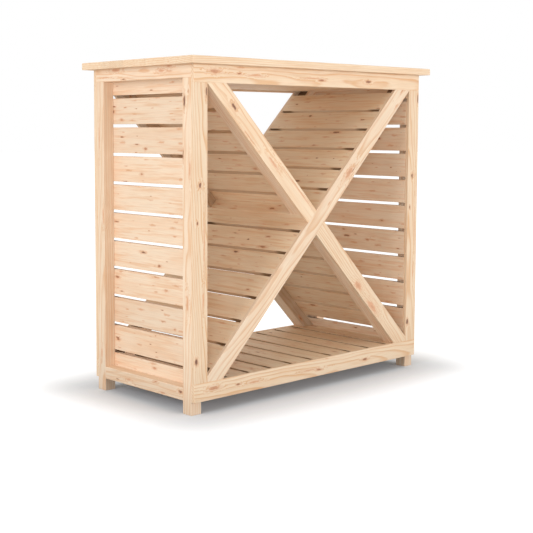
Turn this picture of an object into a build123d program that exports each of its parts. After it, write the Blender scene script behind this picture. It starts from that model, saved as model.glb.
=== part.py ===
"""Open log store: a timber frame with slatted sides, a board roof and a slatted cross that makes four bins.

Millimetres, +Z up.  X runs along the width and Y from the front to the back.  The origin is on the ground
under the middle of the store.
"""
import os
from math import atan2, cos, degrees, hypot, radians, sin, tan

from build123d import *

# Overall sizes of the frame, over the face boards
frame_width = 1030
frame_depth = 476
frame_height = 1013

# Sawn stock
post_size = 38
board_thickness = 12
slat_thickness = 16
slat_width = 79.5
arris = 1

# Face frames, front and back
foot_height = 39
stile_width = 52
top_rail_height = 52
bottom_rail_height = 55

# Side rails and floor bearers
side_rail_height = 38
bearer_height = 38

# Crossing dividers: the rising one runs from bottom left to top right, the falling one mirrors it
brace_width = 54
brace_foot_inset = 22
brace_head_inset = 37
slat_end_clearance = 20
rising_gap = 10.5
falling_gap = 13.5
cleat_width = 38

# Side walls and floor
least_gap = 9

# Roof of tongued boards
roof_thickness = 21.5
roof_side_overhang = 26
roof_end_overhang = 27
roof_board_count = 5
tongue_thickness = 7
tongue_depth = 6
tongue_clearance = 0.5
joint_chamfer = 2.5

# Places that follow from these sizes
half_width = frame_width / 2
half_depth = frame_depth / 2
front_face = -half_depth
back_face = half_depth
post_front = front_face + board_thickness
post_back = back_face - board_thickness
post_outside = half_width
post_inside = half_width - post_size
wall_inside = post_inside - slat_thickness
side_top_rail_base = frame_height - side_rail_height
opening_base = foot_height + bottom_rail_height
opening_top = frame_height - top_rail_height
opening_side = half_width - stile_width
floor_base = foot_height + bearer_height
floor_top = floor_base + slat_thickness
brace_rise = opening_top - opening_base
brace_run = 2 * opening_side - brace_foot_inset - brace_head_inset
brace_angle = degrees(atan2(brace_rise, brace_run))
crossing_height = opening_base + (opening_side - brace_foot_inset) * brace_rise / brace_run
brace_edge = brace_width / 2
slat_base = brace_edge - slat_thickness
slat_middle = brace_edge - slat_thickness / 2
batten_width = brace_width - slat_thickness
batten_middle = -slat_thickness / 2
brace_length = hypot(frame_width, frame_height)
sides = {"left": -1, "right": 1}

# Each divider's own axes in a view from the front: x along it towards the right, y to its upper side
crossing = {
    "rising": Location((0, crossing_height, 0), (0, 0, brace_angle)),
    "falling": Location((0, crossing_height, 0), (0, 0, -brace_angle)),
}
lengthwise = {
    "rising": Axis((0, 0, 0), (brace_run, 0, brace_rise)),
    "falling": Axis((0, 0, 0), (brace_run, 0, -brace_rise)),
}

os.makedirs("parts", exist_ok=True)


def keep(piece, label):
    piece.part.label = label
    export_step(piece.part, f"parts/{label}.step")


def span(low, high):
    """Size and middle of a run between two places."""
    return abs(high - low), (low + high) / 2


def timber(label, x_run, y_run, z_run, grain):
    """A straight piece between three pairs of places, with its long edges eased."""
    width, x = span(*x_run)
    depth, y = span(*y_run)
    height, z = span(*z_run)
    with BuildPart() as piece:
        with Locations((x, y, z)):
            Box(width, depth, height)
        chamfer(piece.edges().filter_by(grain), arris)
    keep(piece, label)


def front_layer(y):
    """Plane seen from the front, at this depth."""
    return Plane.XZ.offset(-y)


def spread(count, low, high, width):
    """Middles of equal pieces that fill a run from end to end with equal gaps."""
    pitch = (high - low - width) / max(count - 1, 1)
    return [low + width / 2 + pitch * number for number in range(count)]


def count_in(run):
    """How many slats fit in a run with at least the least gap between them."""
    return int((run + least_gap) // (slat_width + least_gap))


def room(angle, offset):
    """Distance from the crossing to the wall, floor or roof along a line set off to its left."""
    along_x = cos(radians(angle))
    along_z = sin(radians(angle))
    start_x = -along_z * offset
    start_z = crossing_height + along_x * offset
    limit_x = wall_inside if along_x > 0 else -wall_inside
    limit_z = frame_height if along_z > 0 else floor_top
    return min((limit_x - start_x) / along_x, (limit_z - start_z) / along_z)


def slat_places(start, gap, angle, offsets):
    """Middles of the slats laid out from a start near the crossing towards a corner."""
    reach = min(room(angle, offset) for offset in offsets) - slat_end_clearance
    count = int((reach - start + gap) // (slat_width + gap))
    return [start + slat_width / 2 + (slat_width + gap) * number for number in range(count)]


def clear_of_rising(side):
    """Distance from the crossing at which falling slats clear the rising divider, above (1) or below (-1) it."""
    turn = radians(2 * brace_angle)
    return max((brace_edge - side * face * cos(turn)) / sin(turn) for face in (slat_base, brace_edge))


def slanted(label, divider, y, depth, places, size, clip, grain=None, half=0, reach=None):
    """Pieces of a divider, laid out in its own axes and cut to the space that they stand in.

    A half of the falling divider, above (1) or below (-1) the rising one, is cut to a reach: a near and a far
    distance from the middle of the rising one.
    """
    clip_width, clip_base, clip_top = clip
    clip_height, clip_middle = span(clip_base, clip_top)
    with BuildPart() as piece:
        with BuildSketch(front_layer(y)):
            with Locations(crossing[divider]):
                with Locations(*places):
                    Rectangle(*size)
            if half:
                reach_depth, reach_middle = span(*reach)
                with Locations(crossing["rising"]):
                    with Locations((0, half * reach_middle)):
                        Rectangle(2 * brace_length, reach_depth, mode=Mode.INTERSECT)
            with Locations((0, clip_middle)):
                Rectangle(clip_width, clip_height, mode=Mode.INTERSECT)
        extrude(amount=-depth)
        chamfer(piece.edges().filter_by(grain or lengthwise[divider]), arris)
    keep(piece, label)


# Posts, side rails over and between them
for side, sign in sides.items():
    x_run = (sign * post_outside, sign * post_inside)
    post_runs = {"front": (post_front, post_front + post_size), "back": (post_back - post_size, post_back)}
    for end, y_run in post_runs.items():
        timber(f"{end}_{side}_post", x_run, y_run, (0, side_top_rail_base), Axis.Z)
    timber(f"{side}_top_rail", x_run, (post_front, post_back), (side_top_rail_base, frame_height), Axis.Y)
    between_posts = (post_front + post_size, post_back - post_size)
    timber(f"{side}_bottom_rail", x_run, between_posts, (foot_height, foot_height + side_rail_height), Axis.Y)

# Face frames: rails over the full width, stiles between them
faces = {"front": (front_face, post_front), "back": (post_back, back_face)}
for end, y_run in faces.items():
    full_width = (-half_width, half_width)
    timber(f"{end}_top_rail", full_width, y_run, (opening_top, frame_height), Axis.X)
    timber(f"{end}_bottom_rail", full_width, y_run, (foot_height, opening_base), Axis.X)
    for side, sign in sides.items():
        x_run = (sign * half_width, sign * opening_side)
        timber(f"{end}_{side}_stile", x_run, y_run, (opening_base, opening_top), Axis.Z)

# Cross braces on the faces: the rising one is whole, the falling one is two halves that butt against it
halves = {"upper": 1, "lower": -1}
opening = (2 * opening_side, opening_base, opening_top)
for end, y_run in faces.items():
    board = (y_run[0], board_thickness, [(0, 0)], (2 * brace_length, brace_width), opening)
    slanted(f"{end}_rising_brace", "rising", *board)
    for name, half in halves.items():
        slanted(f"{end}_falling_brace_{name}", "falling", *board, half=half, reach=(brace_edge, brace_length))

# Battens behind the braces, under the divider slats; the falling ones stop against cleats on the rising divider
inside = (2 * wall_inside, floor_top, frame_height)
cleat_face = brace_edge + cleat_width
battens = {"front": post_front, "back": post_back - post_size}
for end, y in battens.items():
    batten = (y, post_size, [(0, batten_middle)], (2 * brace_length, batten_width), inside)
    slanted(f"{end}_rising_batten", "rising", *batten)
    for name, half in halves.items():
        slanted(f"{end}_falling_batten_{name}", "falling", *batten, half=half, reach=(cleat_face, brace_length))

# Cleats from front to back in the crossing's corners, under the ends of the falling halves
slat_length = post_back - post_front
for name, half in halves.items():
    cleat = (post_front, slat_length, [(0, batten_middle)], (2 * brace_length, batten_width), inside, Axis.Y)
    slanted(f"falling_cleat_{name}", "falling", *cleat, half=half, reach=(brace_edge, cleat_face))

# Divider slats, front to back over the battens; a gap of the rising ones lies in line with the upper faces
# of the falling ones
upper_faces = (slat_base, brace_edge)
lower_faces = (-brace_edge, -slat_base)
gap_middle = brace_edge * tan(radians(brace_angle))
up_right = slat_places(rising_gap / 2 + gap_middle, rising_gap, brace_angle, upper_faces)
down_left = slat_places(rising_gap / 2 - gap_middle, rising_gap, brace_angle + 180, lower_faces)
up_left = slat_places(clear_of_rising(1), falling_gap, 180 - brace_angle, lower_faces)
down_right = slat_places(clear_of_rising(-1), falling_gap, -brace_angle, upper_faces)
slat_rows = {
    "rising_slats": ("rising", up_right + [-place for place in down_left]),
    "falling_slats_upper": ("falling", [-place for place in up_left]),
    "falling_slats_lower": ("falling", down_right),
}
for label, (divider, row) in slat_rows.items():
    places = [(place, slat_middle) for place in row]
    slat = (slat_width, slat_thickness)
    slanted(label, divider, post_front, slat_length, places, slat, inside, grain=Axis.Y)

# Side wall slats on the inner faces of the posts
wall_count = count_in(frame_height - foot_height)
wall_heights = spread(wall_count, foot_height, frame_height, slat_width)
for side, sign in sides.items():
    thickness, x = span(sign * post_inside, sign * wall_inside)
    with BuildPart() as wall:
        with Locations(*[(x, 0, z) for z in wall_heights]):
            Box(thickness, slat_length, slat_width)
        chamfer(wall.edges().filter_by(Axis.Y), arris)
    keep(wall, f"{side}_wall_slats")

# Floor: two bearers behind the bottom rails, slats front to back over them
floor_width = (-wall_inside, wall_inside)
for end, y in battens.items():
    timber(f"{end}_floor_bearer", floor_width, (y, y + post_size), (foot_height, floor_base), Axis.X)
floor_places = spread(count_in(2 * wall_inside), *floor_width, slat_width)
floor_height = (floor_base + floor_top) / 2
with BuildPart() as floor:
    with Locations(*[(x, 0, floor_height) for x in floor_places]):
        Box(slat_width, slat_length, slat_thickness)
    chamfer(floor.edges().filter_by(Axis.Y), arris)
keep(floor, "floor_slats")

# Roof: long boards, tongued and grooved, with the edges of each joint chamfered on top
roof_front = front_face - roof_end_overhang
roof_back = back_face + roof_end_overhang
roof_end = half_width + roof_side_overhang
roof_board_width = (roof_back - roof_front) / roof_board_count
roof_middle = frame_height + roof_thickness / 2
for number in range(roof_board_count):
    board_front = roof_front + number * roof_board_width
    board_back = board_front + roof_board_width
    has_groove = number > 0
    has_tongue = number < roof_board_count - 1
    with BuildPart() as roof_board:
        with BuildSketch(Plane.YZ.offset(-roof_end)):
            with Locations(((board_front + board_back) / 2, roof_middle)):
                Rectangle(roof_board_width, roof_thickness)
            if has_tongue:
                with Locations((board_back + tongue_depth / 2, roof_middle)):
                    Rectangle(tongue_depth, tongue_thickness)
            if has_groove:
                groove_depth = tongue_depth + tongue_clearance
                groove_height = tongue_thickness + tongue_clearance
                with Locations((board_front + groove_depth / 2, roof_middle)):
                    Rectangle(groove_depth, groove_height, mode=Mode.SUBTRACT)
        extrude(amount=2 * roof_end)
        top_edges = roof_board.faces().sort_by(Axis.Z)[-1].edges().filter_by(Axis.X)
        chamfer(top_edges, joint_chamfer)
    keep(roof_board, f"roof_board_{number + 1}")
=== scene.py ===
import math
import random

import bmesh
import bpy
from mathutils import Matrix, Vector


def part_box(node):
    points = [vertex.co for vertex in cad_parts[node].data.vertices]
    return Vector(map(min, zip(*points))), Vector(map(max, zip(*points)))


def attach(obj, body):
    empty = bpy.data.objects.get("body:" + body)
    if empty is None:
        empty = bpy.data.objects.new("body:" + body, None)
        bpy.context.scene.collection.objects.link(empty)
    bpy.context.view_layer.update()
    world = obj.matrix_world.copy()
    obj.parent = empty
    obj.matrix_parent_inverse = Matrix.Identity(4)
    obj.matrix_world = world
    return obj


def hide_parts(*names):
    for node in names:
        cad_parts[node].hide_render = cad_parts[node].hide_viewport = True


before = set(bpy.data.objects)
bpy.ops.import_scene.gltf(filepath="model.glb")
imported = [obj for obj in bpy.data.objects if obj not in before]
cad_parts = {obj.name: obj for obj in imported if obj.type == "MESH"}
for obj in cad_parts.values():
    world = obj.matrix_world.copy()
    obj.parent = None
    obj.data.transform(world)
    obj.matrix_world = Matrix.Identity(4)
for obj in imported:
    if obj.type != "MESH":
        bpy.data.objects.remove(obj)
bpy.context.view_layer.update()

# Sizes in metres, as the solids have them
FRAME_WIDTH = 1.030
FRAME_DEPTH = 0.476
POST = 0.038
SLAT_WIDTH = 0.0795
SLAT_THICKNESS = 0.016
BRACE_WIDTH = 0.054
BRACE_EDGE = BRACE_WIDTH / 2
CLEAT_WIDTH = 0.038
RISING_GAP = 0.0105
FALLING_GAP = 0.0135
DIVIDER_ANGLE = math.radians(45)
CROSSING_HEIGHT = 0.535
WALL_SLATS = 11
FLOOR_SLATS = 10
RISING_SLATS = 13
FALLING_SLATS = 6
ROOF_BOARDS = 5
TONGUE = 0.006
TONGUE_THICKNESS = 0.007
GROOVE_CLEARANCE = 0.0005
ROOF_JOINT = 0.0025

# Ceiling boards, which have no solids
CEILING_RISE = 0.006
CEILING_THICKNESS = 0.008
CEILING_JOINT = 0.001
INNER_CEILING_BOARDS = 4

# Eased edges of the boards
ARRIS = 0.001
ARRIS_STEPS = 3
ARRIS_ANGLE = math.radians(40)
SOFT_EDGE = math.radians(50)
FLAT_NORMAL = 0.995

# Directions, and a length past every piece
AXIS_X = (1, 0, 0)
AXIS_Y = (0, 1, 0)
AXIS_Z = (0, 0, 1)
BACKWARD = AXIS_Y
FORWARD = (0, -1, 0)
FAR = 2.0

# Brad heads that hold the slats
BRAD_RADIUS = 0.0011
BRAD_PROUD = 0.0002
BRAD_LENGTH = 0.0012
BRAD_SIDES = 10
BRAD_ROW_SPACING = 0.046

# Knots that show: place from the left (on a side, from the front), height and half width in millimetres,
# then how many times longer than wide it is and how dark it is, from pale orange (0) to nearly black (1)
MILLIMETRES = 1000
TOP_RAIL_BASE = 961
BOTTOM_RAIL_BASE = 39
RIGHT_STILE_EDGE = 978
RAIL_KNOTS = (
    (78, 33, 4.7, 3.6, 0.25), (176, 29, 2.2, 3.0, 0.6), (242, 26, 2.6, 8.0, 0.0),
    (492, 25, 1.5, 22.0, 0.0), (533, 20, 2.4, 4.0, 0.5), (761, 22, 3.2, 3.2, 0.75))
STILE_KNOTS = (
    (8.5, 160, 4.6, 1.7, 1.0), (12.7, 560, 2.4, 2.0, 0.85), (23, 669, 3.8, 1.9, 0.95),
    (47, 935, 2.2, 6.0, 1.0), (36, 335, 2.0, 12.0, 0.0), (39, 500, 1.6, 40.0, 0.0))
FRONT_KNOTS = {
    "front_falling_brace_upper": (
        (155.5, 894.5, 4.2, 2.8, 0.9), (320, 727, 3.6, 7.0, 0.0), (447, 627, 1.6, 45.0, 0.0),
        (217, 806, 2.0, 12.0, 0.0)),
    "front_falling_brace_lower": ((722, 313, 9.0, 1.8, 0.12), (796, 234.5, 10.0, 2.8, 0.05)),
    "front_rising_brace": (
        (671, 689, 8.0, 2.9, 0.15), (690, 696, 1.4, 9.0, 0.6), (937, 955, 2.0, 4.0, 0.2)),
    "front_top_rail": tuple((x, TOP_RAIL_BASE + z, *look) for x, z, *look in RAIL_KNOTS),
    "front_bottom_rail": tuple((x, BOTTOM_RAIL_BASE + z, *look) for x, z, *look in RAIL_KNOTS),
    "front_left_stile": STILE_KNOTS,
    "front_right_stile": tuple((x + RIGHT_STILE_EDGE, *look) for x, *look in STILE_KNOTS),
}
SIDE_KNOTS = {
    "front_left_post": (
        (28.6, 325, 3.8, 5.5, 0.0), (41.7, 909, 3.6, 4.0, 1.0), (24.4, 936, 1.8, 3.0, 0.3),
        (18, 715, 3.0, 7.0, 0.0), (47, 754, 1.6, 8.0, 0.7)),
    "back_left_post": (
        (445, 120, 3.0, 4.0, 0.0), (432, 560, 2.4, 9.0, 0.0), (450, 800, 2.2, 14.0, 0.0)),
    "left_top_rail": (
        (145, 998, 3.6, 4.0, 0.0), (363, 1008, 3.4, 4.5, 0.1), (323, 979, 1.7, 3.6, 0.8),
        (110, 1010, 2.4, 5.0, 0.1), (420, 987, 1.4, 20.0, 0.0)),
    "left_bottom_rail": (
        (60, 63, 3.4, 2.0, 0.85), (175, 73, 2.2, 3.0, 0.3), (143, 45, 2.0, 5.0, 0.15),
        (307, 56, 3.0, 4.0, 0.05)),
}

# Knots at chance places of other boards: how many to a metre, how far from the middle as a share of the
# board, half width, and how many times longer than wide
KNOTS_PER_BOARD = 6
NO_KNOT = (0.0, 0.0, 0.0, 1.0, 0.0)
KNOTS_PER_METRE = (1.5, 4.0)
KNOT_ALONG_SHARE = 0.45
KNOT_ACROSS_SHARE = 0.42
KNOT_RADIUS = (0.0018, 0.0045)
KNOT_LONGER = (1.6, 4.0)

# Knots at chance places of the slats: how far from the middle as a share of half the slat, then the least and
# the most of its width for its length, of its darkness and of its half width, which below zero means no knot
SLAT_KNOT_SHARE = (0.9, 0.85, 0.0)
LEAST_SLAT_KNOT = (0.25, 0.0, -0.006)
MOST_SLAT_KNOT = (0.6, 1.0, 0.004)

# Waves to a metre of the pine's noises, along, across and through a board
ROUGH_WAVES = (90.0, 160.0, 60.0)
WANDER_WAVES = (3.2, 9.0, 9.0)
RIPPLE_WAVES = (11.0, 60.0, 60.0)
FIBRE_WAVES = (16.0, 620.0, 620.0)
STREAK_WAVES = (6.0, 110.0, 110.0)
CLOUD_WAVES = (4.0, 22.0, 22.0)
PATCH_WAVES = (2.0, 26.0, 26.0)
FLECK_CELLS = (11.0, 50.0, 0.0)
FLECK_SCATTER = 0.9
BOARD_SHIFT = (9.7, 5.3, 3.1)

# Growth rings: how the pith lies in a board and how far the rings stray, in metres, then their profile
PITH_LEAN = 0.09
PITH_DIP = 0.07
PITH_SIDE = 0.07
WANDER_SIZE = 0.022
RIPPLE_SIZE = 0.0022
RING_PROFILE = ((0.0, 0.0), (0.5, 0.06), (0.85, 1.0), (1.0, 0.0))
RINGS_ON_ENDS = 0.1

# Fades of the pine: two limits of a value, then what it gives at each of them
PITH_DEPTH = (0.0, 1.0, -0.012, -0.055)
KNOT_PUSH = (0.5, 3.4, 0.008, 0.0)
RING_PATCHES = (0.3, 0.6, 0.55, 1.0)
WARM_CLOUDS = (0.4, 0.75, 0.0, 0.5)
WARM_STREAKS = (0.46, 0.68, 0.0, 0.9)
FIBRE_SHADE = (0.25, 0.75, 0.94, 1.04)
TONE_SHADE = (0.0, 1.0, 0.96, 1.03)
END_SHADE = (0.3, 0.95, 1.0, 0.98)
RAGGED_KNOT = (0.2, 0.8, 0.7, 1.3)
RAGGED_FLECK = (0.2, 0.8, 0.6, 1.4)
FLECK_RADIUS = (0.0, 1.0, 0.05, 0.15)
KNOT_STAIN = (0.8, 2.8, 0.6, 0.0)
STAIN_OF_DARK_KNOT = (0.0, 0.5, 0.4, 1.0)
HEART_MIDDLE = (0.0, 1.0, 0.08, -0.08)
KNOT_HEART = (0.7, 1.3, 0.92, 0.0)
FLECK_STAIN = (0.4, 1.7, 0.7, 0.0)
DARK_FLECK = (0.82, 0.95, 0.0, 0.8)
FLECK_HEART = (0.3, 0.9, 1.0, 0.0)
FIBRE_ROUGHNESS = (0.2, 0.8, 0.66, 0.54)
KNOT_HEIGHT = (0.7, 1.2, 0.4, 0.0)
EDGE_LIMITS = (0.2, 0.7)

# Other looks of the pine: the painted shade of the narrow sides turns browner by these powers of the green
# and the blue
EDGE_GREEN = 1.2
EDGE_BLUE = 1.45
# Painted highlight: eased edges are made this share lighter
ARRIS_PAINTED_HIGHLIGHT = 0.04
NO_KNOT_NEAR = 99.0
LEAST_KNOT_RADIUS = 0.00005
LEAST_FLECK_RADIUS = 0.0005
YEARS_IN_KNOT = 11.0
YEAR_DEPTH = 0.06
LATE_ROUGHNESS = -0.07
END_ROUGHNESS = 0.12
LATE_HEIGHT = 0.45
FIBRE_HEIGHT = 0.5
RELIEF_DEPTH = 0.0005
STAIN_COLOUR = (0.68, 0.34, 0.17)
FLECK_COLOUR = (0.68, 0.34, 0.18)
FLECK_HEART_COLOUR = (0.24, 0.075, 0.04)
HEART_COLOURS = ((0.0, (0.75, 0.41, 0.25)), (0.5, (0.46, 0.20, 0.11)), (1.0, (0.17, 0.08, 0.055)))

# Inputs of the pine that a finish may set; the bearing is where a slat's edges lie over a batten
PINE_COLOURS = ("Pale", "Warm", "Late wood")
# Edges paints shade on a board's narrow sides, and Bearings darker shade over a batten; above 1 they paint
# light
PINE_VALUES = {
    "Ring width": 0.005, "Flecks": 0.4, "Rings": 0.5, "Pith": 1.0, "Edges": 1.0, "Bearings": 1.0,
    "Bearing start": 0.165, "Bearing end": 0.195,
}

# Steel of the brads
SPANGLE_WAVES = (900.0, 900.0, 900.0)
SCRATCH_WAVES = (300.0, 5000.0, 5000.0)
SCRATCH_ROUGHNESS = (0.3, 0.7, 0.32, 0.55)
DULL_STEEL = (0.42, 0.40, 0.37)
BRIGHT_STEEL = (0.60, 0.58, 0.54)
STEEL_METALLIC = 0.85

# Studio: fades of the floor by the distance from the store, painted shade for the light it gives and for how
# it looks
FLOOR_REACH = 30.0
FLOOR_BOUNCE_PAINTED_SHADE = (0.05, 0.25, 0.22, 0.74)
FLOOR_GLOW_AND_PAINTED_SHADE = (0.0, 0.3, 0.03, 0.55)
FLOOR_COLOUR = (0.80, 0.83, 0.90)
WORLD_COLOUR = (0.69, 0.67, 0.605)
LAMP_COLOUR = (0.97, 1.0, 1.04)

# Lamps: place, what it is aimed at, size and power
LAMPS = {
    "left": ((-7.9, -0.6, 3.4), (0.0, 0.0, 0.5), 4.0, 205.0),
    "front": ((2.4, -8.0, 1.9), (0.0, 0.0, 0.5), 3.5, 214.0),
    "corner": ((-6.2, -5.8, 0.5), (0.0, 0.0, 0.6), 3.0, 170.0),
}

# Camera, turned in degrees
LENS = 73.14
SENSOR = 36.0
SHIFT = (0.1180, -0.0770)
CAMERA_PLACE = (-2.539, -2.545, 0.829)
CAMERA_TURN = (84.913, 0.0, -41.772)


class Graph:
    """Adds nodes to a tree; an input may be a plain value or another node's socket."""

    # Sockets of a Mix node that carry the factor and the two colours, and the mixed colour
    MIX_INPUTS = (0, 6, 7)
    MIX_RESULT = 2

    def __init__(self, tree):
        self.tree = tree

    def feed(self, socket, value):
        if isinstance(value, bpy.types.NodeSocket):
            self.tree.links.new(value, socket)
        else:
            socket.default_value = value

    def node(self, kind, inputs=None, **settings):
        node = self.tree.nodes.new(kind)
        for name, value in settings.items():
            setattr(node, name, value)
        for name, value in (inputs or {}).items():
            self.feed(node.inputs[name], value)
        return node

    def math(self, operation, *values):
        return self.node("ShaderNodeMath", dict(enumerate(values)), operation=operation).outputs[0]

    def vector(self, operation, *values):
        node = self.node("ShaderNodeVectorMath", dict(enumerate(values)), operation=operation)
        return node.outputs["Value" if operation == "LENGTH" else "Vector"]

    def attribute(self, name, output="Vector"):
        return self.node("ShaderNodeAttribute", attribute_name=name).outputs[output]

    def split(self, vector):
        return self.node("ShaderNodeSeparateXYZ", {"Vector": vector}).outputs

    def join(self, x, y, z):
        return self.node("ShaderNodeCombineXYZ", {"X": x, "Y": y, "Z": z}).outputs[0]

    def fade(self, value, low, high, low_to=0.0, high_to=1.0):
        """Smooth step of a value between two limits."""
        inputs = {"Value": value, "From Min": low, "From Max": high, "To Min": low_to, "To Max": high_to}
        return self.node("ShaderNodeMapRange", inputs, interpolation_type="SMOOTHSTEP").outputs[0]

    def noise(self, vector, stretch, detail=2.0, roughness=0.5):
        inputs = {"Vector": self.vector("MULTIPLY", vector, stretch), "Scale": 1.0, "Detail": detail,
                  "Roughness": roughness}
        return self.node("ShaderNodeTexNoise", inputs).outputs["Fac"]

    def blend(self, factor, a, b, mode="MIX"):
        node = self.node("ShaderNodeMix", data_type="RGBA", blend_type=mode, clamp_factor=True)
        for index, value in zip(self.MIX_INPUTS, (factor, a, b)):
            self.feed(node.inputs[index], value)
        return node.outputs[self.MIX_RESULT]

    def ramp(self, factor, stops, interpolation="EASE"):
        node = self.node("ShaderNodeValToRGB", {"Fac": factor})
        ramp = node.color_ramp
        ramp.interpolation = interpolation
        while len(ramp.elements) < len(stops):
            ramp.elements.new(1.0)
        for element, (position, colour) in zip(ramp.elements, stops):
            element.position = position
            element.color = colour
        return node.outputs["Color"]


def rgb(red, green, blue):
    return (red, green, blue, 1.0)


def grey(level):
    return rgb(level, level, level)


def pine_knots(g, grain, rough):
    """Distance to the nearest of the board's knots in knot radii, and how dark that knot is."""
    along, across, _ = g.split(grain)
    nearest = NO_KNOT_NEAR
    dark = 0.0
    for number in range(1, KNOTS_PER_BOARD + 1):
        knot_along, knot_across, radius = g.split(g.attribute(f"knot_{number}"))
        squeeze, knot_dark, _ = g.split(g.attribute(f"look_{number}"))
        reach = g.join(g.math("MULTIPLY", g.math("SUBTRACT", along, knot_along), squeeze),
                       g.math("SUBTRACT", across, knot_across), 0.0)
        ratio = g.math("DIVIDE", g.vector("LENGTH", reach), g.math("MAXIMUM", radius, LEAST_KNOT_RADIUS))
        nearer = g.math("LESS_THAN", ratio, nearest)
        dark = g.math("MULTIPLY_ADD", nearer, g.math("SUBTRACT", knot_dark, dark), dark)
        nearest = g.math("MINIMUM", nearest, ratio)
    return g.math("MULTIPLY", nearest, g.fade(rough, *RAGGED_KNOT)), dark


def pine_flecks(g, offset, rough, share):
    """Small flecks strewn over a board: distance to the nearest in fleck radii, and how dark that one is."""
    cells = g.node("ShaderNodeTexVoronoi", {
        "Vector": g.vector("MULTIPLY", offset, FLECK_CELLS), "Scale": 1.0, "Randomness": FLECK_SCATTER},
        voronoi_dimensions="2D")
    chance, width, depth = g.split(cells.outputs["Color"])
    present = g.math("LESS_THAN", chance, share)
    radius = g.math("MULTIPLY", present, g.fade(width, *FLECK_RADIUS))
    reach = g.math("DIVIDE", cells.outputs["Distance"], g.math("MAXIMUM", radius, LEAST_FLECK_RADIUS))
    return g.math("MULTIPLY", reach, g.fade(rough, *RAGGED_FLECK)), depth


def pine_rings(g, grain, board, offset, named, given):
    """Share of late wood, from growth rings round a pith that leans a little, pushed aside by the knots."""
    along, across, through = g.split(grain)
    lot, depth, tone = g.split(board)
    lean = g.math("MULTIPLY", g.math("SUBTRACT", tone, 0.5), PITH_LEAN)
    dip = g.math("MULTIPLY", g.math("SUBTRACT", lot, 0.5), PITH_DIP)
    side = g.math("ADD", g.math("MULTIPLY", g.math("SUBTRACT", lot, 0.5), PITH_SIDE),
                  g.math("MULTIPLY", along, lean))
    deep = g.math("MULTIPLY", g.fade(depth, *PITH_DEPTH), given["Pith"])
    below = g.math("ADD", deep, g.math("MULTIPLY", along, dip))
    ring_arm = g.join(g.math("SUBTRACT", across, side), g.math("SUBTRACT", through, below), 0.0)
    wander = g.math("SUBTRACT", g.noise(offset, WANDER_WAVES), 0.5)
    ripple = g.math("SUBTRACT", g.noise(offset, RIPPLE_WAVES), 0.5)
    radius = g.math("MULTIPLY_ADD", wander, WANDER_SIZE, g.vector("LENGTH", ring_arm))
    radius = g.math("MULTIPLY_ADD", ripple, RIPPLE_SIZE, radius)
    radius = g.math("ADD", radius, g.fade(named, *KNOT_PUSH))
    phase = g.math("FRACT", g.math("DIVIDE", radius, given["Ring width"]))
    return g.ramp(phase, [(place, grey(level)) for place, level in RING_PROFILE])


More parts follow.
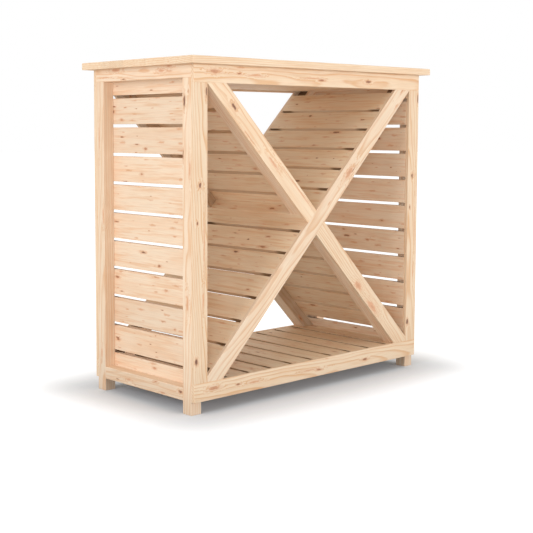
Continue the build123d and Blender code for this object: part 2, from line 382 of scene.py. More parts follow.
def pine_group():
    """Sawn pine in a board's own axes: growth rings round a pith, fibres, streaks, knots and end grain."""
    tree = bpy.data.node_groups.new("sawn pine", "ShaderNodeTree")
    for name in PINE_COLOURS:
        tree.interface.new_socket(name=name, in_out="INPUT", socket_type="NodeSocketColor")
    for name, value in PINE_VALUES.items():
        socket = tree.interface.new_socket(name=name, in_out="INPUT", socket_type="NodeSocketFloat")
        socket.default_value = value
    for name, kind in (("Colour", "Color"), ("Roughness", "Float"), ("Height", "Float")):
        tree.interface.new_socket(name=name, in_out="OUTPUT", socket_type=f"NodeSocket{kind}")
    g = Graph(tree)
    given = g.node("NodeGroupInput").outputs
    grain = g.attribute("grain")
    board = g.attribute("board")
    end_cut = g.attribute("end_cut", "Fac")
    arris = g.attribute("arris", "Fac")
    broad = g.attribute("broad", "Fac")
    along = g.split(grain)[0]
    tone = g.split(board)[2]
    offset = g.vector("ADD", grain, g.vector("MULTIPLY", board, BOARD_SHIFT))
    rough = g.noise(offset, ROUGH_WAVES, detail=1.0)
    named, knot_dark = pine_knots(g, grain, rough)
    fleck, fleck_depth = pine_flecks(g, offset, rough, given["Flecks"])
    late = pine_rings(g, grain, board, offset, named, given)

    # Wood: warm clouds and streaks on a pale ground, then the rings
    fibres = g.noise(offset, FIBRE_WAVES, detail=3.0, roughness=0.6)
    streaks = g.noise(offset, STREAK_WAVES, detail=3.0, roughness=0.65)
    clouds = g.noise(offset, CLOUD_WAVES)
    patches = g.noise(offset, PATCH_WAVES)
    ring_strength = g.math("MULTIPLY", g.fade(patches, *RING_PATCHES), given["Rings"])
    ring_strength = g.math("ADD", ring_strength, g.math("MULTIPLY", end_cut, RINGS_ON_ENDS))
    colour = g.blend(g.fade(clouds, *WARM_CLOUDS), given["Pale"], given["Warm"])
    colour = g.blend(g.fade(streaks, *WARM_STREAKS), colour, given["Warm"])
    colour = g.blend(g.math("MULTIPLY", late, ring_strength), colour, given["Late wood"])

    # Shade: fibres, the board's own tone, cut ends, painted highlight on eased edges, painted shade on narrow
    # sides
    shade = g.math("MULTIPLY", g.fade(fibres, *FIBRE_SHADE), g.fade(tone, *TONE_SHADE))
    shade = g.math("MULTIPLY", shade, g.fade(end_cut, *END_SHADE))
    shade = g.math("MULTIPLY", shade, g.math("MULTIPLY_ADD", arris, ARRIS_PAINTED_HIGHLIGHT, 1.0))
    # Painted shade on the narrow sides, darker and browner over the battens; a finish above 1 paints light
    # there
    painted_edge_shading = g.fade(g.math("ABSOLUTE", along), given["Bearing start"], given["Bearing end"], given["Edges"],
                  given["Bearings"])
    painted_edge_shading = g.fade(g.math("MAXIMUM", broad, end_cut), *EDGE_LIMITS, painted_edge_shading, 1.0)
    painted_edge_shading_tint = g.join(painted_edge_shading, g.math("POWER", painted_edge_shading, EDGE_GREEN), g.math("POWER", painted_edge_shading, EDGE_BLUE))
    shade_tint = g.vector("MULTIPLY", painted_edge_shading_tint, g.join(shade, shade, shade))
    colour = g.blend(1.0, colour, shade_tint, "MULTIPLY")

    # Knots: an orange stain round a heart, pale orange in a sound knot and nearly black in a dead one
    stain = g.math("MULTIPLY", g.fade(named, *KNOT_STAIN), g.fade(knot_dark, *STAIN_OF_DARK_KNOT))
    colour = g.blend(g.math("MULTIPLY", stain, broad), colour, rgb(*STAIN_COLOUR))
    year = g.math("MULTIPLY", g.math("SINE", g.math("MULTIPLY", named, YEARS_IN_KNOT)), YEAR_DEPTH)
    heart_depth = g.math("ADD", g.math("ADD", knot_dark, year), g.fade(named, *HEART_MIDDLE))
    heart = g.ramp(heart_depth, [(place, rgb(*tint)) for place, tint in HEART_COLOURS], "LINEAR")
    colour = g.blend(g.math("MULTIPLY", g.fade(named, *KNOT_HEART), broad), colour, heart)
    fleck_stain = g.math("MULTIPLY", g.fade(fleck, *FLECK_STAIN), broad)
    colour = g.blend(fleck_stain, colour, rgb(*FLECK_COLOUR))
    fleck_heart = g.math("MULTIPLY", g.fade(fleck_depth, *DARK_FLECK), g.fade(fleck, *FLECK_HEART))
    colour = g.blend(g.math("MULTIPLY", fleck_heart, broad), colour, rgb(*FLECK_HEART_COLOUR))

    roughness = g.math("MULTIPLY_ADD", late, LATE_ROUGHNESS, g.fade(fibres, *FIBRE_ROUGHNESS))
    roughness = g.math("ADD", roughness, g.math("MULTIPLY", end_cut, END_ROUGHNESS))
    height = g.math("MULTIPLY_ADD", late, LATE_HEIGHT, g.math("MULTIPLY", fibres, FIBRE_HEIGHT))
    height = g.math("ADD", height, g.fade(named, *KNOT_HEIGHT))
    out = g.node("NodeGroupOutput")
    for name, value in (("Colour", colour), ("Roughness", roughness), ("Height", height)):
        g.feed(out.inputs[name], value)
    return tree


def pine(name, group, specular=0.3, bump=0.3, **tints):
    """A pine finish: the shared grain with its own tints."""
    material = bpy.data.materials.new(name)
    material.use_nodes = True
    g = Graph(material.node_tree)
    shader = material.node_tree.nodes["Principled BSDF"]
    wood = g.node("ShaderNodeGroup", node_tree=group)
    for socket, value in tints.items():
        wood.inputs[socket.replace("_", " ").capitalize()].default_value = value
    relief = g.node("ShaderNodeBump", {
        "Height": wood.outputs["Height"], "Strength": bump, "Distance": RELIEF_DEPTH})
    for socket, value in (
            ("Base Color", wood.outputs["Colour"]), ("Roughness", wood.outputs["Roughness"]),
            ("Normal", relief.outputs["Normal"]), ("Specular IOR Level", specular)):
        g.feed(shader.inputs[socket], value)
    return material


def steel(name):
    """Dull zinc-plated steel of the brad heads, mottled and a little scratched."""
    material = bpy.data.materials.new(name)
    material.use_nodes = True
    g = Graph(material.node_tree)
    shader = material.node_tree.nodes["Principled BSDF"]
    place = g.node("ShaderNodeTexCoord").outputs["Object"]
    spangle = g.noise(place, SPANGLE_WAVES, detail=3.0)
    scratch = g.noise(place, SCRATCH_WAVES, detail=1.0)
    g.feed(shader.inputs["Base Color"], g.blend(spangle, rgb(*DULL_STEEL), rgb(*BRIGHT_STEEL)))
    g.feed(shader.inputs["Roughness"], g.fade(scratch, *SCRATCH_ROUGHNESS))
    shader.inputs["Metallic"].default_value = STEEL_METALLIC
    return material


def settle(obj):
    """Turns an object's evaluated shape into its own plain mesh."""
    bpy.context.view_layer.update()
    evaluated = obj.evaluated_get(bpy.context.evaluated_depsgraph_get())
    mesh = bpy.data.meshes.new_from_object(evaluated)
    obj.modifiers.clear()
    old = obj.data
    obj.data = mesh
    bpy.data.meshes.remove(old)
    mesh.name = obj.name


def new_object(name, mesh):
    obj = bpy.data.objects.new(name, mesh)
    bpy.context.scene.collection.objects.link(obj)
    return obj


def own_axes(centre, along, across):
    """From a board's own axes (along the grain, across it, through it) to the store's."""
    along = Vector(along).normalized()
    across = Vector(across).normalized()
    turn = Matrix((along, across, along.cross(across))).transposed()
    return Matrix.Translation(centre) @ turn.to_4x4()


def store_attribute(mesh, name, kind, domain, values):
    attribute = mesh.attributes.new(name, kind, domain)
    attribute.data.foreach_set("vector" if kind == "FLOAT_VECTOR" else "value", values)


def random_knots(draw, length, width):
    """A few knots at chance places of a board, fewer on a short one and none near its ends."""
    wanted = min(KNOTS_PER_BOARD, max(1, round(length * draw.uniform(*KNOTS_PER_METRE))))
    knots = []
    for _ in range(wanted):
        along = draw.uniform(-KNOT_ALONG_SHARE, KNOT_ALONG_SHARE) * length
        across = draw.uniform(-KNOT_ACROSS_SHARE, KNOT_ACROSS_SHARE) * width
        radius = draw.uniform(*KNOT_RADIUS)
        longer = draw.uniform(*KNOT_LONGER)
        knots.append((along, across, radius, longer, draw.uniform(0.0, 1.0)))
    return knots


def finish_board(obj, axes, seed, knots):
    """Eases the edges of a board drawn in its own axes, stores what its finish reads and puts it in place."""
    bevel = obj.modifiers.new("arris", "BEVEL")
    bevel.width = ARRIS
    bevel.segments = ARRIS_STEPS
    bevel.limit_method = "ANGLE"
    bevel.angle_limit = ARRIS_ANGLE
    obj.modifiers.new("flat faces", "WEIGHTED_NORMAL")
    settle(obj)
    mesh = obj.data
    draw = random.Random(seed)
    board = (draw.random(), draw.random(), draw.random())
    points = [point.co for point in mesh.vertices]
    lengths = [max(values) - min(values) for values in zip(*points)]
    if knots is None:
        knots = random_knots(draw, lengths[0], lengths[1])
    own = {"grain": [value for point in points for value in point], "board": board * len(points)}
    for number in range(KNOTS_PER_BOARD):
        along, across, radius, longer, dark = knots[number] if number < len(knots) else NO_KNOT
        own[f"knot_{number + 1}"] = (along, across, radius) * len(points)
        own[f"look_{number + 1}"] = (1 / longer, dark, 0.0) * len(points)
    for name, values in own.items():
        store_attribute(mesh, name, "FLOAT_VECTOR", "POINT", values)
    store_attribute(mesh, "end_cut", "FLOAT", "FACE", [abs(face.normal.x) for face in mesh.polygons])
    store_attribute(mesh, "broad", "FLOAT", "FACE", [abs(face.normal.z) for face in mesh.polygons])
    eased = [max(abs(value) for value in face.normal) < FLAT_NORMAL and face.area < lengths[0] * ARRIS
             for face in mesh.polygons]
    store_attribute(mesh, "arris", "FLOAT", "FACE", [float(value) for value in eased])
    mesh.transform(axes)


def prism(name, outline, axis, half_depth):
    """A closed mesh from an outline drawn across one of the board's own axes, drawn out both ways."""
    def corner(point, end):
        values = list(point)
        values.insert(axis, end)
        return values

    mesh = bpy.data.meshes.new(name)
    solid = bmesh.new()
    rims = [[solid.verts.new(corner(point, end)) for point in outline] for end in (-half_depth, half_depth)]
    for rim in rims:
        solid.faces.new(rim)
    for index, low in enumerate(rims[0]):
        following = (index + 1) % len(outline)
        solid.faces.new((low, rims[0][following], rims[1][following], rims[1][index]))
    bmesh.ops.recalc_face_normals(solid, faces=solid.faces)
    solid.to_mesh(mesh)
    solid.free()
    mesh.shade_smooth()
    return new_object(name, mesh)


def dress(obj, material):
    """Gives a piece its finish and makes it part of the store."""
    obj.data.materials.clear()
    obj.data.materials.append(material)
    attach(obj, "root")


def stand_for(obj, node, material):
    """The piece takes the place of a solid, with that solid's finish."""
    dress(obj, material)
    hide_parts(node)


def node_box(node):
    low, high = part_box(node)
    return Vector(low), Vector(high)


def photo_knots(node, axes):
    """The knots that show on a board, from places on the front or the left to the board's own axes."""
    seen = [((x / MILLIMETRES - FRAME_WIDTH / 2, 0.0, z / MILLIMETRES), look)
            for x, z, *look in FRONT_KNOTS.get(node, ())]
    seen += [((0.0, y / MILLIMETRES - FRAME_DEPTH / 2, z / MILLIMETRES), look)
             for y, z, *look in SIDE_KNOTS.get(node, ())]
    knots = []
    for place, (radius, longer, dark) in seen:
        own = axes.inverted() @ Vector(place)
        knots.append((own.x, own.y, radius / MILLIMETRES, longer, dark))
    return knots or None


def square_timber(node, axes, size, material, seed):
    """A timber with square ends, of a size along, across and through the grain."""
    length, width, depth = (abs(value) / 2 for value in size)
    outline = ((-length, -width), (length, -width), (length, width), (-length, width))
    obj = prism(f"{node}_timber", outline, 2, depth)
    finish_board(obj, axes, seed, photo_knots(node, axes))
    stand_for(obj, node, material)


def straight_timber(node, along, across, material, seed):
    """A timber that fills its solid's box, with the grain along one of the store's axes."""
    low, high = node_box(node)
    axes = own_axes((low + high) / 2, along, across)
    square_timber(node, axes, axes.to_3x3().inverted() @ (high - low), material, seed)


def trimmed(outline, normal, limit):
    """The part of an outline that lies below a limit along a direction."""
    kept = []
    for here, there in zip(outline, outline[1:] + outline[:1]):
        over = here.dot(normal) - limit
        next_over = there.dot(normal) - limit
        if over <= 0:
            kept.append(here)
        if over * next_over < 0:
            kept.append(here.lerp(there, over / (over - next_over)))
    return kept


def slanted_timber(node, hand, half, edges, stop, space, slot, material, seed):
    """A brace or batten of a divider, cut to the space that it stands in.

    The rising divider has hand 1 and the falling one -1.  A falling half, above (1) or below (-1) the rising
    divider, stops at a distance from its middle.
    """
    low, high = node_box(node)
    along = Vector((math.cos(DIVIDER_ANGLE), hand * math.sin(DIVIDER_ANGLE)))
    upper = Vector((-hand * math.sin(DIVIDER_ANGLE), math.cos(DIVIDER_ANGLE)))
    rising_normal = Vector((-math.sin(DIVIDER_ANGLE), math.cos(DIVIDER_ANGLE)))
    centre = Vector((0.0, CROSSING_HEIGHT))
    outline = [centre + along * x + upper * y for x, y in (
        (-FAR, edges[0]), (FAR, edges[0]), (FAR, edges[1]), (-FAR, edges[1]))]
    for normal, limit in space:
        outline = trimmed(outline, Vector(normal), limit)
    if half:
        outline = trimmed(outline, -half * rising_normal, -half * centre.dot(rising_normal) - stop)
    middle = sum(outline, Vector((0.0, 0.0))) / len(outline)
    place = (middle.x, (low.y + high.y) / 2, middle.y)
    axes = own_axes(place, (along.x, 0.0, along.y), (upper.x, 0.0, upper.y))
    drawn = [((point - middle).dot(along), (point - middle).dot(upper)) for point in outline]
    obj = prism(f"{node}_timber", drawn, 2, (high.y - low.y) / 2)
    finish_board(obj, axes, seed, photo_knots(node, axes))
    stand_for(obj, node, material)


def roof_board(number, material, seed):
    """A tongued and grooved board, chamfered on top along its joints."""
    node = f"roof_board_{number}"
    low, high = node_box(node)
    middle = (low + high) / 2
    half = (high.z - low.z) / 2
    back = high.y - (TONGUE if number < ROOF_BOARDS else 0.0)
    tongue = TONGUE_THICKNESS / 2
    groove = tongue + GROOVE_CLEARANCE / 2
    groove_end = low.y + TONGUE + GROOVE_CLEARANCE
    section = [(low.y, -half), (back, -half)]
    if number < ROOF_BOARDS:
        section += [(back, -tongue), (high.y, -tongue), (high.y, tongue), (back, tongue)]
    section += [(back, half - ROOF_JOINT), (back - ROOF_JOINT, half), (low.y + ROOF_JOINT, half),
                (low.y, half - ROOF_JOINT)]
    if number > 1:
        section += [(low.y, groove), (groove_end, groove), (groove_end, -groove), (low.y, -groove)]
    axes = own_axes(middle, AXIS_X, AXIS_Y)
    obj = prism(f"{node}_timber", [(y - middle.y, z) for y, z in section], 0, (high.x - low.x) / 2)
    finish_board(obj, axes, seed, None)
    stand_for(obj, node, material)


def new_tree(name, inputs):
    """An empty geometry tree with named inputs; gives the tree and the inputs' identifiers."""
    tree = bpy.data.node_groups.new(name, "GeometryNodeTree")
    identifiers = {}
    tree.interface.new_socket(name="Geometry", in_out="INPUT", socket_type="NodeSocketGeometry")
    for label, kind in inputs:
        socket = tree.interface.new_socket(name=label, in_out="INPUT", socket_type=f"NodeSocket{kind}")
        identifiers[label] = socket.identifier
    tree.interface.new_socket(name="Geometry", in_out="OUTPUT", socket_type="NodeSocketGeometry")
    return tree, identifiers


def finished(g, geometry, finish):
    """Ends a geometry tree: real copies with their finish."""
    real = g.node("GeometryNodeRealizeInstances", {"Geometry": geometry}).outputs["Geometry"]
    dressed = g.node("GeometryNodeSetMaterial", {"Geometry": real, "Material": finish}).outputs["Geometry"]
    g.feed(g.node("NodeGroupOutput").inputs["Geometry"], dressed)


def store(g, geometry, name, value, kind="FLOAT_VECTOR", domain="POINT"):
    node = g.node("GeometryNodeStoreNamedAttribute", {"Geometry": geometry, "Name": name},
                  data_type=kind, domain=domain)
    g.feed(node.inputs["Value"], value)
    return node.outputs["Geometry"]


def row_points(g, given):
    """Middles of the pieces of a row, spread across the grain about its middle."""
    span = g.math("MULTIPLY", g.math("SUBTRACT", given["Count"], 1.0), given["Pitch"])
    start = g.join(0.0, g.math("MULTIPLY", span, -0.5), 0.0)
    step = g.join(0.0, given["Pitch"], 0.0)
    return g.node("GeometryNodeMeshLine", {"Count": given["Count"], "Start Location": start, "Offset": step})


def slat_row_tree():
    """A row of slats: a rounded section drawn along the grain and repeated, each slat with its own grain."""
    tree, identifiers = new_tree("slat row", (
        ("Count", "Int"), ("Pitch", "Float"), ("Width", "Float"), ("Thickness", "Float"), ("Length", "Float"),
        ("Rounding", "Float"), ("Seed", "Int"), ("Finish", "Material")))
    g = Graph(tree)
    given = g.node("NodeGroupInput").outputs
    section = g.node("GeometryNodeCurvePrimitiveQuadrilateral", {
        "Width": given["Width"], "Height": given["Thickness"]}).outputs["Curve"]
    section = g.node("GeometryNodeFilletCurve", {
        "Curve": section, "Count": ARRIS_STEPS, "Radius": given["Rounding"]}, mode="POLY").outputs["Curve"]
    reach = g.math("MULTIPLY", given["Length"], 0.5)
    path = g.node("GeometryNodeCurvePrimitiveLine", {
        "Start": g.join(g.math("MULTIPLY", reach, -1.0), 0.0, 0.0), "End": g.join(reach, 0.0, 0.0)})
    slat = g.node("GeometryNodeCurveToMesh", {
        "Curve": path.outputs["Curve"], "Profile Curve": section, "Fill Caps": True}).outputs["Mesh"]
    place = g.node("GeometryNodeInputPosition").outputs["Position"]
    slat = store(g, slat, "grain", place)
    normal = g.node("GeometryNodeInputNormal").outputs["Normal"]
    slat = store(g, slat, "end_cut", g.math("ABSOLUTE", g.split(normal)[0]), "FLOAT", "FACE")
    slat = store(g, slat, "broad", g.math("ABSOLUTE", g.split(normal)[2]), "FLOAT", "FACE")
    area = g.node("GeometryNodeInputMeshFaceArea").outputs["Area"]
    eased = g.math("LESS_THAN", area, g.math("MULTIPLY", given["Length"], given["Rounding"]))
    slat = store(g, slat, "arris", eased, "FLOAT", "FACE")
    slat = g.node("GeometryNodeSetShadeSmooth", {"Geometry": slat}).outputs["Geometry"]
    edge_angle = g.node("GeometryNodeInputMeshEdgeAngle").outputs["Unsigned Angle"]
    sharp = g.math("GREATER_THAN", edge_angle, SOFT_EDGE)
    slat = g.node("GeometryNodeSetShadeSmooth", {
        "Geometry": slat, "Selection": sharp, "Shade Smooth": False}, domain="EDGE").outputs["Geometry"]
    row = g.node("GeometryNodeInstanceOnPoints", {
        "Points": row_points(g, given).outputs["Mesh"], "Instance": slat}).outputs["Instances"]

    def chance(low, high, order):
        node = g.node("FunctionNodeRandomValue", data_type="FLOAT_VECTOR")
        g.feed(node.inputs[0], low)
        g.feed(node.inputs[1], high)
        g.feed(node.inputs["Seed"], g.math("ADD", given["Seed"], float(order)))
        return node.outputs[0]

    row = store(g, row, "board", chance((0.0, 0.0, 0.0), (1.0, 1.0, 1.0), 0), domain="INSTANCE")
    half_size = g.join(reach, g.math("MULTIPLY", given["Width"], 0.5), 0.0)
    least_share = tuple(-share for share in SLAT_KNOT_SHARE)
    for number in range(1, KNOTS_PER_BOARD + 1):
        middle = g.vector("MULTIPLY", chance(least_share, SLAT_KNOT_SHARE, number), half_size)
        look = chance(LEAST_SLAT_KNOT, MOST_SLAT_KNOT, number + KNOTS_PER_BOARD)
        radius = g.math("MAXIMUM", g.split(look)[2], 0.0)
        knot = g.vector("ADD", middle, g.join(0.0, 0.0, radius))
        row = store(g, row, f"knot_{number}", knot, domain="INSTANCE")
        row = store(g, row, f"look_{number}", look, domain="INSTANCE")
    finished(g, row, given["Finish"])
    return tree, identifiers


def brad_row_tree():
    """Brad heads in fours, two at each end of every board of a row."""
    tree, identifiers = new_tree("brad row", (
        ("Count", "Int"), ("Pitch", "Float"), ("End spacing", "Float"), ("Pair spacing", "Float"),
        ("Face", "Float"), ("Finish", "Material")))
    g = Graph(tree)
    given = g.node("NodeGroupInput").outputs
    head = g.node("GeometryNodeMeshCylinder", {
        "Vertices": BRAD_SIDES, "Radius": BRAD_RADIUS, "Depth": BRAD_LENGTH}).outputs["Mesh"]
    sunk = g.join(0.0, 0.0, g.math("ADD", given["Face"], BRAD_PROUD - BRAD_LENGTH / 2))
    head = g.node("GeometryNodeTransform", {"Geometry": head, "Translation": sunk}).outputs["Geometry"]
    four = g.node("GeometryNodeMeshGrid", {
        "Size X": given["End spacing"], "Size Y": given["Pair spacing"], "Vertices X": 2, "Vertices Y": 2})
    board = g.node("GeometryNodeInstanceOnPoints", {"Points": four.outputs["Mesh"], "Instance": head})
    row = g.node("GeometryNodeInstanceOnPoints", {
        "Points": row_points(g, given).outputs["Mesh"], "Instance": board.outputs["Instances"]})
    finished(g, row.outputs["Instances"], given["Finish"])
    return tree, identifiers


def grown(name, tree, identifiers, values, axes):
    """A mesh from a geometry tree with these inputs, put in place."""
    obj = new_object(name, bpy.data.meshes.new(name))
    modifier = obj.modifiers.new(tree.name, "NODES")
    modifier.node_group = tree
    for label, value in values.items():
        modifier[identifiers[label]] = value
    if tree.name == "slat row":
        flat = obj.modifiers.new("flat faces", "WEIGHTED_NORMAL")
        flat.keep_sharp = True
    settle(obj)
    obj.data.transform(axes)
    return obj


def seen_directly(g):
    """1 for what the camera sees, also in metal and through glass; 0 for light that falls on the store."""
    path = g.node("ShaderNodeLightPath").outputs
    seen = g.math("ADD", path["Is Camera Ray"], path["Is Glossy Ray"])
    return g.math("MINIMUM", g.math("ADD", seen, path["Is Transmission Ray"]), 1.0)


def studio_floor():
    """White floor that keeps the store's shadow and falls off to grey under it, as painted shade in how it
    looks and in the light it gives back.
    """
    material = bpy.data.materials.new("studio floor")
    material.use_nodes = True
    tree = material.node_tree
    tree.nodes.clear()
    g = Graph(tree)
    place = g.vector("ABSOLUTE", g.node("ShaderNodeTexCoord").outputs["Object"])
    outside = g.vector("SUBTRACT", place, (FRAME_WIDTH / 2, FRAME_DEPTH / 2, 0.0))
    distance = g.vector("LENGTH", g.vector("MAXIMUM", outside, (0.0, 0.0, 0.0)))
    # Painted shade: near and under the store the floor gives back less light
    painted_shade_bounce = g.fade(distance, *FLOOR_BOUNCE_PAINTED_SHADE)
    matt = g.node("ShaderNodeBsdfDiffuse", {"Color": g.join(painted_shade_bounce, painted_shade_bounce, painted_shade_bounce)}).outputs[0]
    pale = g.node("ShaderNodeBsdfDiffuse", {"Color": rgb(*FLOOR_COLOUR)}).outputs[0]
    # Painted shade: the glow that makes the floor white falls off near and under the store
    glow_with_painted_shade = g.node("ShaderNodeEmission", {
        "Color": grey(1.0), "Strength": g.fade(distance, *FLOOR_GLOW_AND_PAINTED_SHADE)}).outputs[0]
    shown = g.node("ShaderNodeAddShader", {0: pale, 1: glow_with_painted_shade}).outputs[0]
    mixed = g.node("ShaderNodeMixShader", {0: seen_directly(g), 1: matt, 2: shown}).outputs[0]
    g.feed(g.node("ShaderNodeOutputMaterial").inputs["Surface"], mixed)
    mesh = bpy.data.meshes.new("studio_floor")
    corners = [(x * FLOOR_REACH, y * FLOOR_REACH, 0) for x, y in ((-1, -1), (1, -1), (1, 1), (-1, 1))]
    mesh.from_pydata(corners, [], [(0, 1, 2, 3)])
    mesh.materials.append(material)
    new_object("studio_floor", mesh)


def studio_light(name, place, aim, size, power):
    """A round soft lamp, turned to what it is aimed at."""
    lamp = bpy.data.lights.new(name, "AREA")
    lamp.color = LAMP_COLOUR
    lamp.shape = "DISK"
    lamp.size = size
    lamp.energy = power
    obj = bpy.data.objects.new(name, lamp)
    obj.location = place
    obj.rotation_euler = (Vector(aim) - Vector(place)).to_track_quat("-Z", "Y").to_euler()
    bpy.context.scene.collection.objects.link(obj)


def studio_world():
    """Soft light from all round, white where it is seen."""
    world = bpy.data.worlds.new("studio")
    world.use_nodes = True
    bpy.context.scene.world = world
    g = Graph(world.node_tree)
    background = world.node_tree.nodes["Background"]
    g.feed(background.inputs["Color"], g.blend(seen_directly(g), rgb(*WORLD_COLOUR), grey(1.0)))


def studio_camera():
    """Camera at the photograph's viewing angle."""
    lens = bpy.data.cameras.new("camera")
    lens.lens = LENS
    lens.sensor_width = SENSOR
    lens.shift_x, lens.shift_y = SHIFT
    camera = bpy.data.objects.new("camera", lens)
    camera.location = CAMERA_PLACE
    camera.rotation_euler = [math.radians(turn) for turn in CAMERA_TURN]
    bpy.context.scene.collection.objects.link(camera)
    bpy.context.scene.camera = camera


# Finishes: tints of the wood, then how dark the painted shade is on the narrow sides and over the battens
SLAT_TINTS = {
    "pale": rgb(0.88, 0.70, 0.515), "warm": rgb(0.80, 0.53, 0.32), "late_wood": rgb(0.76, 0.47, 0.28),
    "ring_width": 0.0060, "rings": 0.15, "flecks": 0.5,
}
WALL_TINTS = {**SLAT_TINTS, "pale": rgb(0.865, 0.68, 0.52), "warm": rgb(0.80, 0.52, 0.335)}
CLEAT_TINTS = {
    "pale": rgb(0.85, 0.67, 0.49), "warm": rgb(0.78, 0.52, 0.32), "late_wood": rgb(0.74, 0.45, 0.26),
    "ring_width": 0.0060, "rings": 0.2, "flecks": 0.45,
}
BRACE_TINTS = {
    "pale": rgb(0.90, 0.72, 0.555), "warm": rgb(0.855, 0.62, 0.44), "late_wood": rgb(0.76, 0.45, 0.25),
    "ring_width": 0.0068, "rings": 0.8, "flecks": 0.03,
}
# Painted shade: darker, browner pine for the back falling battens, which lie in shade
PAINTED_SHADE_TINTS = {
    "pale": rgb(0.58, 0.43, 0.30), "warm": rgb(0.52, 0.35, 0.22), "late_wood": rgb(0.45, 0.27, 0.15),
    "ring_width": 0.0065, "rings": 0.5, "flecks": 0.12,
}
FRAME_TINTS = {
    "pale": rgb(0.88, 0.70, 0.54), "warm": rgb(0.82, 0.565, 0.38), "late_wood": rgb(0.74, 0.42, 0.22),
    "ring_width": 0.0065, "rings": 0.7, "flecks": 0.12,
}
FACE_TINTS = {
    "pale": rgb(0.88, 0.69, 0.51), "warm": rgb(0.83, 0.59, 0.40), "late_wood": rgb(0.74, 0.42, 0.21),
    "ring_width": 0.0068, "rings": 0.8, "flecks": 0.03,
}
ROOF_TINTS = {
    "pale": rgb(0.88, 0.69, 0.51), "warm": rgb(0.83, 0.59, 0.40), "late_wood": rgb(0.75, 0.44, 0.23),
    "ring_width": 0.0060, "rings": 0.7, "flecks": 0.12, "pith": 6.0,
}
# Painted light: the ceiling boards are paler than the other pine, standing in for light from below
CEILING_PAINTED_LIGHT_TINTS = {
    "pale": rgb(0.94, 0.77, 0.60), "warm": rgb(0.90, 0.67, 0.48), "late_wood": rgb(0.80, 0.50, 0.29),
    "ring_width": 0.0060, "rings": 0.5, "flecks": 0.12, "pith": 6.0,
}
grain = pine_group()
# Painted shade on the slats' narrow sides, as in the gaps, and darker over the battens except in the falling
# divider
slat_pine = pine("pine slats", grain, **SLAT_TINTS, edges=0.92, bearings=0.4)
wall_pine = pine("pine slats of the walls", grain, **WALL_TINTS, edges=0.92, bearings=0.4)
floor_pine = pine("pine slats of the floor", grain, **SLAT_TINTS, edges=0.80, bearings=0.4)
falling_pine = pine("pine slats of the falling divider", grain, **SLAT_TINTS, edges=0.82, bearings=0.82)
cleat_pine = pine("pine cleats", grain, **CLEAT_TINTS)
brace_pine = pine("pine rising brace", grain, **BRACE_TINTS)
# Painted shade on the back falling battens; the lower one has painted light on its narrow sides
shaded_pine = pine("pine in painted shade", grain, **PAINTED_SHADE_TINTS)
shaded_pine_with_painted_light_sides = pine("pine in painted shade with sapwood edges", grain, **PAINTED_SHADE_TINTS, edges=1.5, bearings=1.5)
frame_pine = pine("pine frame timber", grain, **FRAME_TINTS)
face_pine = pine("pine face boards", grain, **FACE_TINTS)
roof_pine = pine("pine roof boards", grain, **ROOF_TINTS)
ceiling_pine = pine("pine ceiling boards", grain, **CEILING_PAINTED_LIGHT_TINTS)
# Painted shade on the narrow sides of the rising battens near their ends
batten_pine = pine("pine battens", grain, **FRAME_TINTS, bearings=0.3, bearing_start=0.54, bearing_end=0.575)
brad_steel = steel("brad steel")

# Frame timbers and face boards, by the run of their grain
seed = 1
for side in ("left", "right"):
    for end in ("front", "back"):
        straight_timber(f"{end}_{side}_post", AXIS_Z, AXIS_Y, frame_pine, seed)
        straight_timber(f"{end}_{side}_stile", AXIS_Z, AXIS_X, face_pine, seed + 1)
        seed += 2
    for level in ("top", "bottom"):
        straight_timber(f"{side}_{level}_rail", AXIS_Y, AXIS_Z, frame_pine, seed)
        seed += 1
for end in ("front", "back"):
    for level in ("top", "bottom"):
        straight_timber(f"{end}_{level}_rail", AXIS_X, AXIS_Z, face_pine, seed)
        seed += 1
    straight_timber(f"{end}_floor_bearer", AXIS_X, AXIS_Y, frame_pine, seed)
    seed += 1
for number in range(1, ROOF_BOARDS + 1):
    roof_board(number, roof_pine, seed)
    seed += 1

# Braces stand in the face frames' openings, battens between the walls, the floor and the roof
stile_edge = node_box("front_right_stile")[0].x
wall_face = node_box("right_wall_slats")[0].x
RIGHT, LEFT, UP, DOWN = (1, 0), (-1, 0), (0, 1), (0, -1)
opening = (
    (RIGHT, stile_edge), (LEFT, stile_edge), (UP, node_box("front_top_rail")[0].z),
    (DOWN, -node_box("front_bottom_rail")[1].z))
inside = (
    (RIGHT, wall_face), (LEFT, wall_face), (UP, node_box("front_top_rail")[1].z),
    (DOWN, -node_box("floor_slats")[1].z))
brace_edges = (-BRACE_EDGE, BRACE_EDGE)
batten_edges = (-BRACE_EDGE, BRACE_EDGE - SLAT_THICKNESS)
cleat_face = BRACE_EDGE + CLEAT_WIDTH
brace_form = (brace_edges, BRACE_EDGE, opening, "face_boards")
batten_form = (batten_edges, cleat_face, inside, "frame")
for end, kind, form, rising_finish, upper_finish, lower_finish in (
        ("front", "brace", brace_form, brace_pine, face_pine, face_pine),
        ("front", "batten", batten_form, batten_pine, frame_pine, frame_pine),
        ("back", "brace", brace_form, brace_pine, face_pine, face_pine),
        ("back", "batten", batten_form, batten_pine, shaded_pine, shaded_pine_with_painted_light_sides)):
    slanted_timber(f"{end}_rising_{kind}", 1, 0, *form, rising_finish, seed)
    slanted_timber(f"{end}_falling_{kind}_upper", -1, 1, *form, upper_finish, seed + 1)
    slanted_timber(f"{end}_falling_{kind}_lower", -1, -1, *form, lower_finish, seed + 2)
    seed += 3

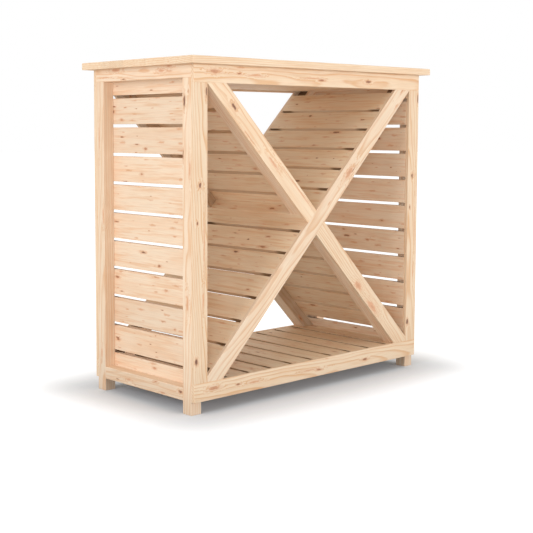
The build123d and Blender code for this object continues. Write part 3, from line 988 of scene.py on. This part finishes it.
# Cleats from front to back in the corners of the crossing
slope = math.cos(DIVIDER_ANGLE)
rise = math.sin(DIVIDER_ANGLE)
slat_low, slat_high = node_box("floor_slats")
slat_length = slat_high.y - slat_low.y
for name in ("upper", "lower"):
    node = f"falling_cleat_{name}"
    low, high = node_box(node)
    axes = own_axes((low + high) / 2, FORWARD, (slope, 0, rise))
    cleat_size = (slat_length, BRACE_WIDTH - SLAT_THICKNESS, CLEAT_WIDTH)
    square_timber(node, axes, cleat_size, cleat_pine, seed)
    seed += 1

# Slats: each row lies about the middle of its solid, with the brads on the side that faces the logs
slat_tree, slat_inputs = slat_row_tree()
brad_tree, brad_inputs = brad_row_tree()
brad_reach = slat_length - POST
wall_low, wall_high = node_box("left_wall_slats")
wall_pitch = (wall_high.z - wall_low.z - SLAT_WIDTH) / (WALL_SLATS - 1)
floor_pitch = (slat_high.x - slat_low.x - SLAT_WIDTH) / (FLOOR_SLATS - 1)
rising_pitch = SLAT_WIDTH + RISING_GAP
falling_pitch = SLAT_WIDTH + FALLING_GAP
rows = (
    ("left_wall_slats", WALL_SLATS, wall_pitch, BACKWARD, AXIS_Z, wall_pine),
    ("right_wall_slats", WALL_SLATS, wall_pitch, FORWARD, AXIS_Z, wall_pine),
    ("floor_slats", FLOOR_SLATS, floor_pitch, FORWARD, AXIS_X, floor_pine),
    ("rising_slats", RISING_SLATS, rising_pitch, FORWARD, (slope, 0, rise), slat_pine),
    ("falling_slats_upper", FALLING_SLATS, falling_pitch, FORWARD, (slope, 0, -rise), falling_pine),
    ("falling_slats_lower", FALLING_SLATS, falling_pitch, FORWARD, (slope, 0, -rise), falling_pine),
)
for node, count, pitch, along, across, finish in rows:
    low, high = node_box(node)
    axes = own_axes((low + high) / 2, along, across)
    slats = grown(f"{node}_timber", slat_tree, slat_inputs, {
        "Count": count, "Pitch": pitch, "Width": SLAT_WIDTH, "Thickness": SLAT_THICKNESS,
        "Length": slat_length, "Rounding": ARRIS, "Seed": seed, "Finish": finish}, axes)
    stand_for(slats, node, finish)
    brads = grown(f"{node}_brads", brad_tree, brad_inputs, {
        "Count": count, "Pitch": pitch, "End spacing": brad_reach, "Pair spacing": BRAD_ROW_SPACING,
        "Face": SLAT_THICKNESS / 2, "Finish": brad_steel}, axes)
    dress(brads, brad_steel)
    seed += 2 * KNOTS_PER_BOARD + 1

# Ceiling boards under the roof, between the walls; the first and the last stop at the battens' upper faces
ceiling_low = node_box("front_top_rail")[0].z + CEILING_RISE
batten_low, batten_high = node_box("back_rising_batten")
batten_face = BRACE_EDGE - SLAT_THICKNESS
batten_along = (ceiling_low - CROSSING_HEIGHT) / rise - batten_face
short_reach = (batten_along - batten_face) * slope - CEILING_JOINT
long_reach = wall_face - CEILING_JOINT
inner_step = 2 * batten_low.y / INNER_CEILING_BOARDS
joints = [-batten_high.y]
joints += [-batten_low.y + inner_step * number for number in range(INNER_CEILING_BOARDS + 1)]
joints.append(batten_high.y)
for number, (front, back) in enumerate(zip(joints, joints[1:]), 1):
    reach = short_reach if number in (1, INNER_CEILING_BOARDS + 2) else long_reach
    half_width = (back - front - CEILING_JOINT) / 2
    centre = (0.0, (front + back) / 2, ceiling_low + CEILING_THICKNESS / 2)
    outline = ((-reach, -half_width), (reach, -half_width), (reach, half_width), (-reach, half_width))
    board = prism(f"ceiling_board_{number}_timber", outline, 2, CEILING_THICKNESS / 2)
    finish_board(board, own_axes(centre, AXIS_X, AXIS_Y), seed, None)
    dress(board, ceiling_pine)
    seed += 1

studio_floor()
for name, lamp in LAMPS.items():
    studio_light(name, *lamp)
studio_world()
studio_camera()
bpy.context.scene.view_settings.view_transform = "Standard"
